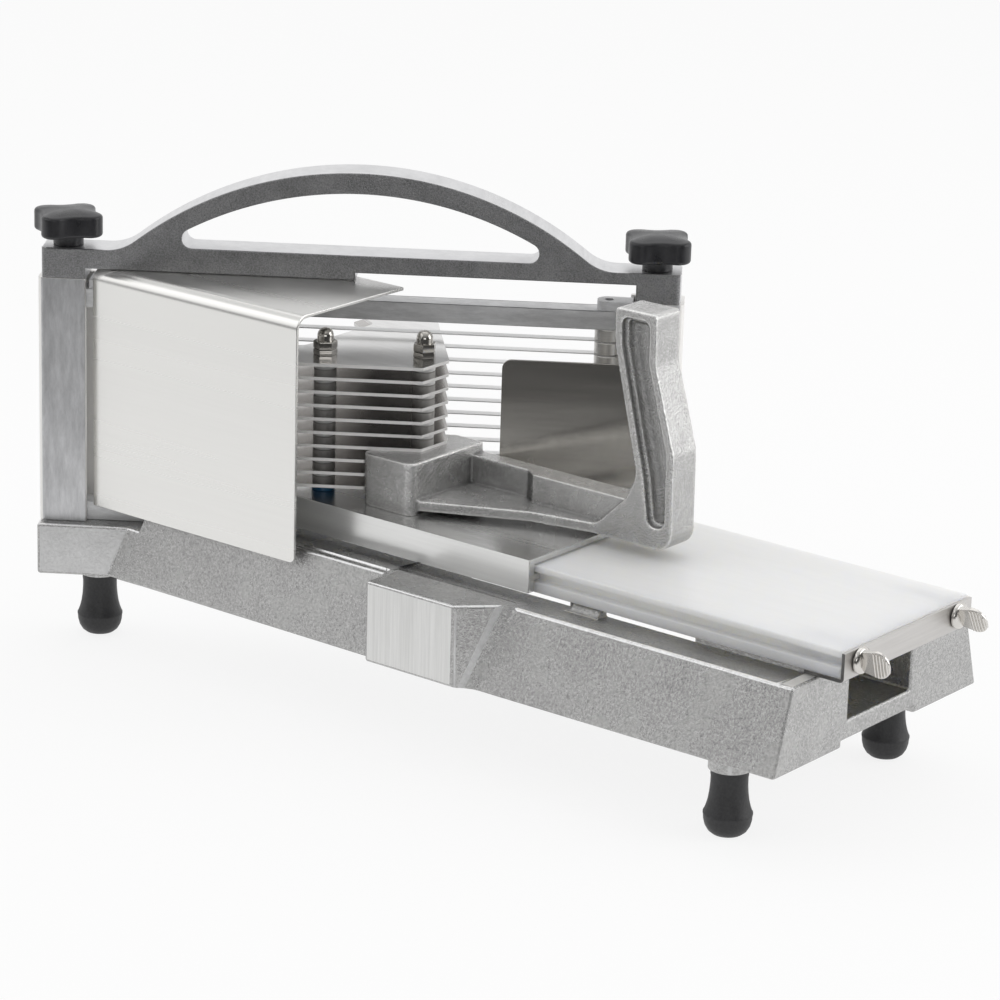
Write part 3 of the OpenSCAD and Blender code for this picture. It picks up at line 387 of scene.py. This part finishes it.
# Blade cartridge
# Eleven thin steel blades between two aluminium bars. Turned spacers on two tie rods set the step between
# the blades, and each blade's front edge is ground to a bevel.
bar_skin = metal("bar_skin", streaks, {"Stretch": (60, 60, 300)}, (0.40, 0.402, 0.405),
                 (0.90, 0.902, 0.91), rough=(0.45, 0.6), bump=(0.15, 0.0002), patch=0.55, metallic=0.7)
spacer_skin = metal("spacer_skin", streaks, {"Stretch": (60, 60, 1600)}, (0.60, 0.59, 0.57),
                    (0.78, 0.77, 0.75), rough=(0.4, 0.5), bump=(0.05, 0.0001), patch=0.4)
blade_steel = metal("blade_steel", streaks, {"Stretch": (30, 30, 1500)}, (0.74, 0.74, 0.74),
                    (0.88, 0.88, 0.88), rough=(0.3, 0.42), bump=(0.03, 0.0001), patch=0.4, metallic=0.5)
for bar in ("top_bar", "bottom_bar"):
    bm = solid_copy(bar)
    round_edges(bm, 0.0004, 2, 0.002)
    set_piece(bm, bar + "_extrusion", [bar], bar_skin)
for number in range(1, 12):
    blade = f"blade_{number}"
    bm = solid_copy(blade)
    centre = middle_of(blade)
    for v in bm.verts:
        offset = v.co - centre
        if offset.dot(across) < -0.0024 and abs(offset.dot(along)) < 0.11:
            v.co.z -= 0.6 * offset.z
    set_piece(bm, blade + "_ground", [blade], blade_steel)


def levels(first, height, count, step=6.35):
    return [(first + step * i, first + step * i + height) for i in range(count)]


def rings(node, outer, bore, heights, chamfer=0.35):
    seat_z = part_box("foot_1")[1].z + 0.008
    bm = bmesh.new()
    for low, high in heights:
        ring = bmesh.new()
        turned(ring, [(bore, low), (outer - chamfer, low), (outer, low + chamfer), (outer, high - chamfer),
                      (outer - chamfer, high), (bore, high), (bore, low)], 44)
        joined(bm, ring)
    centre = middle_of(node)
    bm.transform(Matrix.Translation((centre.x, centre.y, seat_z)) @ millimetres)
    return bm


blade_levels = [(33.8, 58.35)] + levels(58.85, 5.85, 11)
for stack in ("blade_spacers_near", "blade_spacers_far"):
    set_piece(rings(stack, 6.2, 3.1, blade_levels), stack + "_turned", [stack], spacer_skin)
keep_node("tie_rods", fastener_steel)

# Board
# A board of white polyethylene with a groove along each side for the carriage. It lies on the casting and
# is held by the two thumb screws at its end.
board_white = plastic("board_white", streaks, {"Stretch": (30, 240, 240)}, (0.84, 0.84, 0.83),
                      (0.90, 0.90, 0.895), rough=(0.36, 0.48), bump=(0.05, 0.0002))
glow_through = board_white.node_tree.nodes["Principled BSDF"].inputs
glow_through["Subsurface Weight"].default_value = 0.85
glow_through["Subsurface Radius"].default_value = (1.0, 0.95, 0.8)
glow_through["Subsurface Scale"].default_value = 0.014
bm = solid_copy("board")
round_edges(bm, 0.0007, 3)
set_piece(bm, "slide_board", ["board"], board_white)

# End plate and thumb screws
# A bent steel angle closes the end of the board. Two plated thumb screws with ridged spade wings go through
# it into the board.
plate_steel = metal("plate_steel", streaks, {"Stretch": (600, 30, 600)}, (0.52, 0.505, 0.49),
                    (0.66, 0.645, 0.63), rough=(0.3, 0.42), bump=(0.04, 0.0001), patch=0.5)
sheared_edge = metal("sheared_edge", streaks, {"Stretch": (500, 500, 500)}, (0.10, 0.10, 0.10),
                     (0.24, 0.235, 0.23), rough=(0.4, 0.55), bump=(0.1, 0.0002), patch=0.5)
nickel = metal("nickel", streaks, {"Stretch": (300, 300, 300)}, (0.62, 0.6, 0.57),
               (0.74, 0.72, 0.69), rough=(0.16, 0.26), bump=(0.02, 0.0001), patch=0.5)
bm = solid_copy("end_plate")
plate_low, plate_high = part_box("end_plate")
bend = [e for e in bm.edges if e.calc_length() > 0.05
        and all(abs(v.co.x - plate_high.x) + abs(v.co.z - plate_low.z) < 1e-4 for v in e.verts)]
bevelled(bm, bend, 0.0022, 5)
for face in bm.faces:
    face.material_index = int(abs(face.normal.y) > 0.9 and face.calc_area() > 1e-6)
set_piece(bm, "end_angle", ["end_plate"], plate_steel, sheared_edge)

wing_half, wing_reach, wing_middle, wing_root = 6.5, 6.0, 9.3, 1.2
wing_thick, ridge_radius = 2.6, 0.55
sideways = Matrix.Rotation(math.radians(90), 4, "Y")


def wing_taper(height):
    return 1 - 0.035 * (height - wing_root)


for screw, turn in (("thumb_screw_near", 16), ("thumb_screw_far", 28)):
    bm = bmesh.new()
    turned(bm, [(0, -26), (2.5, -26), (2.5, 0.3), (5.5, 0.3), (5.9, 0.7), (5.9, 1.7), (5.5, 2.3), (4.4, 2.8),
                (2.4, 3.4), (0, 3.6)], 40)
    wing = bmesh.new()
    rim = [(wing_half * math.cos(a), wing_middle + wing_reach * math.sin(a))
           for a in (math.radians(-20 + 220 * i / 36) for i in range(37))]
    rim += [(-4.9, wing_root), (4.9, wing_root)]
    bmesh.ops.contextual_create(wing, geom=[wing.verts.new((x, -wing_thick / 2, z)) for x, z in rim])
    thickened(wing, (0, wing_thick, 0))
    for v in wing.verts:
        v.co.y *= wing_taper(v.co.z)
    bevelled(wing, [e for e in wing.edges if e.calc_face_angle() > 1], 0.45, 3)
    joined(bm, wing)
    for side in (-1, 1):
        for row in range(5):
            height = 8 + 1.5 * row
            reach = wing_half * math.sqrt(1 - ((height - wing_middle) / wing_reach) ** 2) - 0.7
            ridge = bmesh.new()
            bmesh.ops.create_cone(ridge, cap_ends=True, segments=12, radius1=ridge_radius,
                                  radius2=ridge_radius, depth=2 * reach)
            joined(bm, ridge, Matrix.Translation((0, side * 1.25 * wing_taper(height), height)) @ sideways)
    bm.transform(Matrix.Translation((plate_high.x, middle_of(screw).y, middle_of(screw).z)) @ millimetres
                 @ sideways @ Matrix.Rotation(math.radians(turn), 4, "Z"))
    set_piece(bm, screw + "_spade", [screw], nickel)

# Carriage
# An aluminium channel that slides on the board, with a lip in each groove. Its slanted end runs along the
# blades, and the handle and fins are bolted on its top.
carriage_skin = metal("carriage_skin", streaks, {"Stretch": (12, 500, 500)}, (0.54, 0.54, 0.535),
                      (0.82, 0.82, 0.81), rough=(0.22, 0.34), bump=(0.06, 0.0001), patch=0.5, metallic=0.9)
# Lighter, less metallic copy of the channel finish for the sides: painted light.
carriage_side_painted_light = metal("carriage_side_painted_light", streaks, {"Stretch": (12, 500, 500)}, (0.80, 0.80, 0.79),
                      (0.97, 0.97, 0.96), rough=(0.22, 0.34), bump=(0.06, 0.0001), patch=0.5, metallic=0.6)
bm = solid_copy("carriage")
round_edges(bm, 0.0004, 2)
# Side faces get the lighter copy: painted light on the sides.
for face in bm.faces:
    face.material_index = int(abs(face.normal.y) > 0.7)
set_piece(bm, "carriage_channel", ["carriage"], carriage_skin, carriage_side_painted_light)

# Handle
# One aluminium casting: a block bolted to the carriage, a webbed arm and an upright grip with a troughed
# recess. It is blasted and then tumbled, so its edges are round. Its colour holds painted highlights on the
# edges, painted shade in the creases and recess corners, and painted light on its tops.
handle_skin = metal("handle_skin", blast, {"Grain size": 1000, "Patch size": 130}, (0.48, 0.477, 0.47),
                    (0.74, 0.737, 0.73), rough=(0.2, 0.28), bump=(0.5, 0.0003), patch=0.3)


def brightened(tree, colour, amount):
    node = tree.nodes.new("ShaderNodeVectorMath")
    node.operation = "SCALE"
    tree.links.new(colour, node.inputs["Vector"])
    tree.links.new(amount, node.inputs["Scale"])
    return node.outputs["Vector"]


tree = handle_skin.node_tree
shader = tree.nodes["Principled BSDF"]
# Pointiness paints shade into creases and recess corners and a highlight onto convex edges.
sharpness = tree.nodes.new("ShaderNodeNewGeometry").outputs["Pointiness"]
edge_highlight_crease_shade = brightened(tree, shader.inputs["Base Color"].links[0].from_socket,
                  spread(tree, sharpness, 0.44, 0.54, 0.15, 1.25))
# Faces pointing up are painted lighter and less metallic: painted light on the tops.
facing = tree.nodes.new("ShaderNodeSeparateXYZ")
tree.links.new(tree.nodes.new("ShaderNodeTexCoord").outputs["Normal"], facing.inputs[0])
painted_top_light = brightened(tree, edge_highlight_crease_shade, spread(tree, facing.outputs["Z"], 0.8, 0.98, 1.0, 1.2))
tree.links.new(painted_top_light, shader.inputs["Base Color"])
tree.links.new(spread(tree, facing.outputs["Z"], 0.8, 0.98, 1.0, 0.75), shader.inputs["Metallic"])
bm = solid_copy("handle")
recess_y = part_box("handle")[1].y - 0.018 + 0.003
trough = [f for f in bm.faces if f.normal.y < -0.99 and abs(f.calc_center_median().y - recess_y) < 2e-4]
for inward, drop in ((0.0014, 0.0), (0.0004, -0.0018), (0.0009, -0.0014), (0.0012, -0.0008)):
    bmesh.ops.inset_region(bm, faces=trough, thickness=inward, depth=drop, use_even_offset=True)
handle = set_piece(bm, "handle_casting", ["handle"], handle_skin, sharp=60)
handle.modifiers.clear()
casting = handle.modifiers.new("cast_skin", "REMESH")
casting.mode = "VOXEL"
casting.voxel_size = 0.0006
casting.use_smooth_shade = True
tumbled = handle.modifiers.new("tumbled_edges", "SMOOTH")
tumbled.factor = 0.5
tumbled.iterations = 3
keep_node("handle_screws", fastener_steel)

# Fins
# Ten aluminium fins push the fruit and run between the blades. Turned spacers on two bolts hold them apart,
# and a blue nylon spacer lifts the near stack off the carriage.
fin_skin = metal("fin_skin", streaks, {"Stretch": (60, 400, 400)}, (0.42, 0.405, 0.39),
                 (0.50, 0.485, 0.47), rough=(0.14, 0.22), bump=(0.04, 0.0001), patch=0.5)
# Lighter copy of the fin finish for the top fin's upper face: painted light.
top_fin_painted_light = metal("top_fin_painted_light", streaks, {"Stretch": (60, 400, 400)}, (0.66, 0.655, 0.65),
                   (0.86, 0.855, 0.85), rough=(0.15, 0.25), bump=(0.04, 0.0001), patch=0.5)
# Lighter, half-metallic copy of the fin finish for the edges: painted highlight.
fin_edge_painted_highlight = metal("fin_edge_painted_highlight", streaks, {"Stretch": (300, 300, 300)}, (0.72, 0.71, 0.70),
                 (0.88, 0.87, 0.86), rough=(0.35, 0.5), bump=(0.05, 0.0001), patch=0.5, metallic=0.5)
fin_finishes = [fin_skin, top_fin_painted_light, fin_edge_painted_highlight]
top_fin = 10
for number in range(1, top_fin + 1):
    fin = f"fin_{number}"
    bm = solid_copy(fin)
    round_edges(bm, 0.0001, 2, 0.0006)
    for face in bm.faces:
        finish = fin_skin
        # Edge faces of the fins get the lighter copy: painted highlight.
        if abs(face.normal.z) < 0.5:
            finish = fin_edge_painted_highlight
        # The top fin's upper face gets the lighter copy: painted light.
        elif number == top_fin and face.normal.z > 0.9:
            finish = top_fin_painted_light
        face.material_index = fin_finishes.index(finish)
    set_piece(bm, fin + "_sheet", [fin], *fin_finishes)
# The fin spacers get a near-white, non-metallic colour that stands in for their bright reflection: painted
# reflection.
fin_spacer_painted_reflection = metal("fin_spacer_painted_reflection", streaks, {"Stretch": (40, 40, 2600)}, (0.88, 0.88, 0.87),
                     (0.97, 0.97, 0.96), rough=(0.16, 0.26), bump=(0.05, 0.0001), patch=0.3, metallic=0.0)
fin_levels = levels(62.525, 4.85, 9)
for stack, first in (("fin_spacers_near", 0), ("fin_spacers_far", 3)):
    set_piece(rings(stack, 5.2, 2.9, fin_levels[first:]), stack + "_turned", [stack], fin_spacer_painted_reflection)
nylon_blue = plastic("nylon_blue", blast, {"Grain size": 600, "Patch size": 100}, (0.015, 0.09, 0.2),
                     (0.03, 0.17, 0.34), rough=(0.25, 0.38), bump=(0.05, 0.0001))
set_piece(rings("nylon_spacer", 5.4, 2.9, [(55.5, 61.025)]), "nylon_ring", ["nylon_spacer"], nylon_blue)
for node in ("fin_bolt_near", "fin_bolt_far"):
    keep_node(node, fastener_steel)

# Nuts on the fin bolts
# Plated steel, turned and milled: a jam nut locks each fin bolt, and a domed cap nut closes it so that no
# thread can touch the food.
nut_chrome = metal("nut_chrome", streaks, {"Stretch": (200, 200, 200)}, (0.4, 0.385, 0.36),
                   (0.52, 0.5, 0.47), rough=(0.08, 0.16), bump=(0.02, 0.0001), patch=0.5)


def hex_nut(height, width=9.5):
    bm = bmesh.new()
    corner = width / 2 / math.cos(math.radians(30))
    bmesh.ops.create_cone(bm, cap_ends=True, segments=6, radius1=corner, radius2=corner, depth=height,
                          matrix=Matrix.Translation((0, 0, height / 2)))
    bevelled(bm, [e for e in bm.edges if rise_of(e) <= 1e-6], 0.55, 2)
    return bm


bolts = [middle_of("fin_bolt_near"), middle_of("fin_bolt_far")]
for node, height, low in (("jam_nuts", 2.7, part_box("jam_nuts")[0].z),
                          ("cap_nuts", 3.9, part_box("cap_nuts")[0].z)):
    bm = bmesh.new()
    for side, bolt in enumerate(bolts):
        nut = hex_nut(height)
        if node == "cap_nuts":
            dome = bmesh.new()
            turned(dome, [(0, 0.2), (3.9, 0.2), (3.85, 5.9), (3.7, 6.9), (3.3, 7.9), (2.7, 8.75), (1.9, 9.3),
                          (1.0, 9.6), (0, 9.7)], 40)
            joined(nut, dome)
        joined(bm, nut, Matrix.Translation((bolt.x, bolt.y, low)) @ millimetres
               @ Matrix.Rotation(math.radians(12 + 20 * side), 4, "Z"))
    set_piece(bm, node + "_plated", [node], nut_chrome)

# Hand shield
# A polished steel plate on the pusher stands between the grip and the blades. A tab at its foot is screwed
# to the far side of the handle block.
shield_polish = metal("shield_polish", streaks, {"Stretch": (24, 24, 600)}, (0.36, 0.345, 0.32),
                      (0.48, 0.465, 0.435), rough=(0.14, 0.22), bump=(0.02, 0.0001), patch=0.6)
bm = solid_copy("hand_shield")
round_edges(bm, 0.0002, 2, 0.0006)
set_piece(bm, "shield_plate", ["hand_shield"], shield_polish, sharp=20)
keep_node("shield_screws", fastener_steel)

# Studio
# A pale floor, a white surround and soft lamps from the left, the right, the front and above, with the
# camera where the photographer stood.
azimuth, elevation, roll = (math.radians(a) for a in (37.971, 17.799, 1.690))
away = Vector((-math.sin(azimuth), math.cos(azimuth), 0))
right = Vector((math.cos(azimuth), math.sin(azimuth), 0))
floor_near, floor_far, floor_half = -0.38, 8, 5
bm = bmesh.new()
corners = [away * depth + right * side for depth, side in (
    (floor_near, -floor_half), (floor_near, floor_half), (floor_far, floor_half), (floor_far, -floor_half))]
bmesh.ops.contextual_create(bm, geom=[bm.verts.new(corner) for corner in corners])
bmesh.ops.recalc_face_normals(bm, faces=bm.faces)
mesh = bpy.data.meshes.new("floor")
bm.to_mesh(mesh)
bm.free()
floor = bpy.data.objects.new("floor", mesh)
bpy.context.scene.collection.objects.link(floor)

floor_white = bpy.data.materials.new("floor_white")
floor_white.use_nodes = True
tree = floor_white.node_tree
shader = tree.nodes["Principled BSDF"]
shader.inputs["Base Color"].default_value = (0.9, 0.9, 0.9, 1)
shader.inputs["Roughness"].default_value = 0.9
rays = tree.nodes.new("ShaderNodeLightPath").outputs
seen = rays["Is Camera Ray"]
for kind in ("Is Glossy Ray", "Is Transmission Ray"):
    either = tree.nodes.new("ShaderNodeMath")
    either.operation = "MAXIMUM"
    tree.links.new(seen, either.inputs[0])
    tree.links.new(rays[kind], either.inputs[1])
    seen = either.outputs[0]
share = tree.nodes.new("ShaderNodeMath")
share.operation = "MULTIPLY"
share.inputs[1].default_value = 0.85
tree.links.new(seen, share.inputs[0])
glow = tree.nodes.new("ShaderNodeEmission")
glow.inputs["Strength"].default_value = 1.0
blend = tree.nodes.new("ShaderNodeMixShader")
tree.links.new(share.outputs[0], blend.inputs[0])
tree.links.new(shader.outputs[0], blend.inputs[1])
tree.links.new(glow.outputs[0], blend.inputs[2])
tree.links.new(blend.outputs[0], tree.nodes["Material Output"].inputs["Surface"])
mesh.materials.append(floor_white)

world = bpy.data.worlds.new("studio")
bpy.context.scene.world = world
world.use_nodes = True
tree = world.node_tree
soft = tree.nodes["Background"]
view = tree.nodes.new("ShaderNodeTexCoord").outputs["Generated"]
ahead = tree.nodes.new("ShaderNodeVectorMath")
ahead.operation = "DOT_PRODUCT"
ahead.inputs[1].default_value = away
tree.links.new(view, ahead.inputs[0])
height = tree.nodes.new("ShaderNodeSeparateXYZ")
tree.links.new(view, height.inputs[0])
sky = tree.nodes.new("ShaderNodeMix")
sky.data_type = "FLOAT"
sky.inputs[3].default_value = 0.75
tree.links.new(spread(tree, height.outputs["Z"], 0.3, 0.9), sky.inputs["Factor"])
tree.links.new(spread(tree, ahead.outputs["Value"], -0.36, 0.14, 0.08, 0.95), sky.inputs[2])
tree.links.new(sky.outputs[0], soft.inputs["Color"])
white = tree.nodes.new("ShaderNodeBackground")
white.inputs["Color"].default_value = (1, 1, 1, 1)
choice = tree.nodes.new("ShaderNodeMixShader")
tree.links.new(tree.nodes.new("ShaderNodeLightPath").outputs["Is Camera Ray"], choice.inputs[0])
tree.links.new(soft.outputs[0], choice.inputs[1])
tree.links.new(white.outputs[0], choice.inputs[2])
tree.links.new(choice.outputs[0], tree.nodes["World Output"].inputs["Surface"])


def softbox(name, place, size, power, aim=(0, 0, 0.1)):
    lamp = bpy.data.lights.new(name, "AREA")
    lamp.shape = "RECTANGLE"
    lamp.size, lamp.size_y = size
    lamp.energy = power
    holder = bpy.data.objects.new(name, lamp)
    holder.location = place
    holder.rotation_euler = (Vector(aim) - Vector(place)).to_track_quat("-Z", "Y").to_euler()
    holder.visible_camera = False
    bpy.context.scene.collection.objects.link(holder)


softbox("left_box", (-0.9, -1.5, 1.2), (2.0, 1.6), 7)
softbox("right_box", (1.5, 0.8, 0.7), (1.2, 1.2), 10)
softbox("top_box", (-0.3, 0.5, 1.8), (1.8, 1.6), 5)
softbox("front_box", (1.45, -1.86, 0.55), (1.4, 0.6), 5)

back = Vector((0, 0, math.sin(elevation))) - away * math.cos(elevation)
up = back.cross(right)
right, up = (math.cos(roll) * right + math.sin(roll) * up, math.cos(roll) * up - math.sin(roll) * right)
lens = bpy.data.cameras.new("camera")
lens.sensor_width = 36
lens.lens = 142.388
camera = bpy.data.objects.new("camera", lens)
camera.matrix_world = Matrix((right, up, back)).transposed().to_4x4()
camera.location = (end_face_x + 0.846433, track_y - 1.352666, 0.646476)
bpy.context.scene.collection.objects.link(camera)
bpy.context.scene.camera = camera
bpy.context.scene.view_settings.view_transform = "Standard"
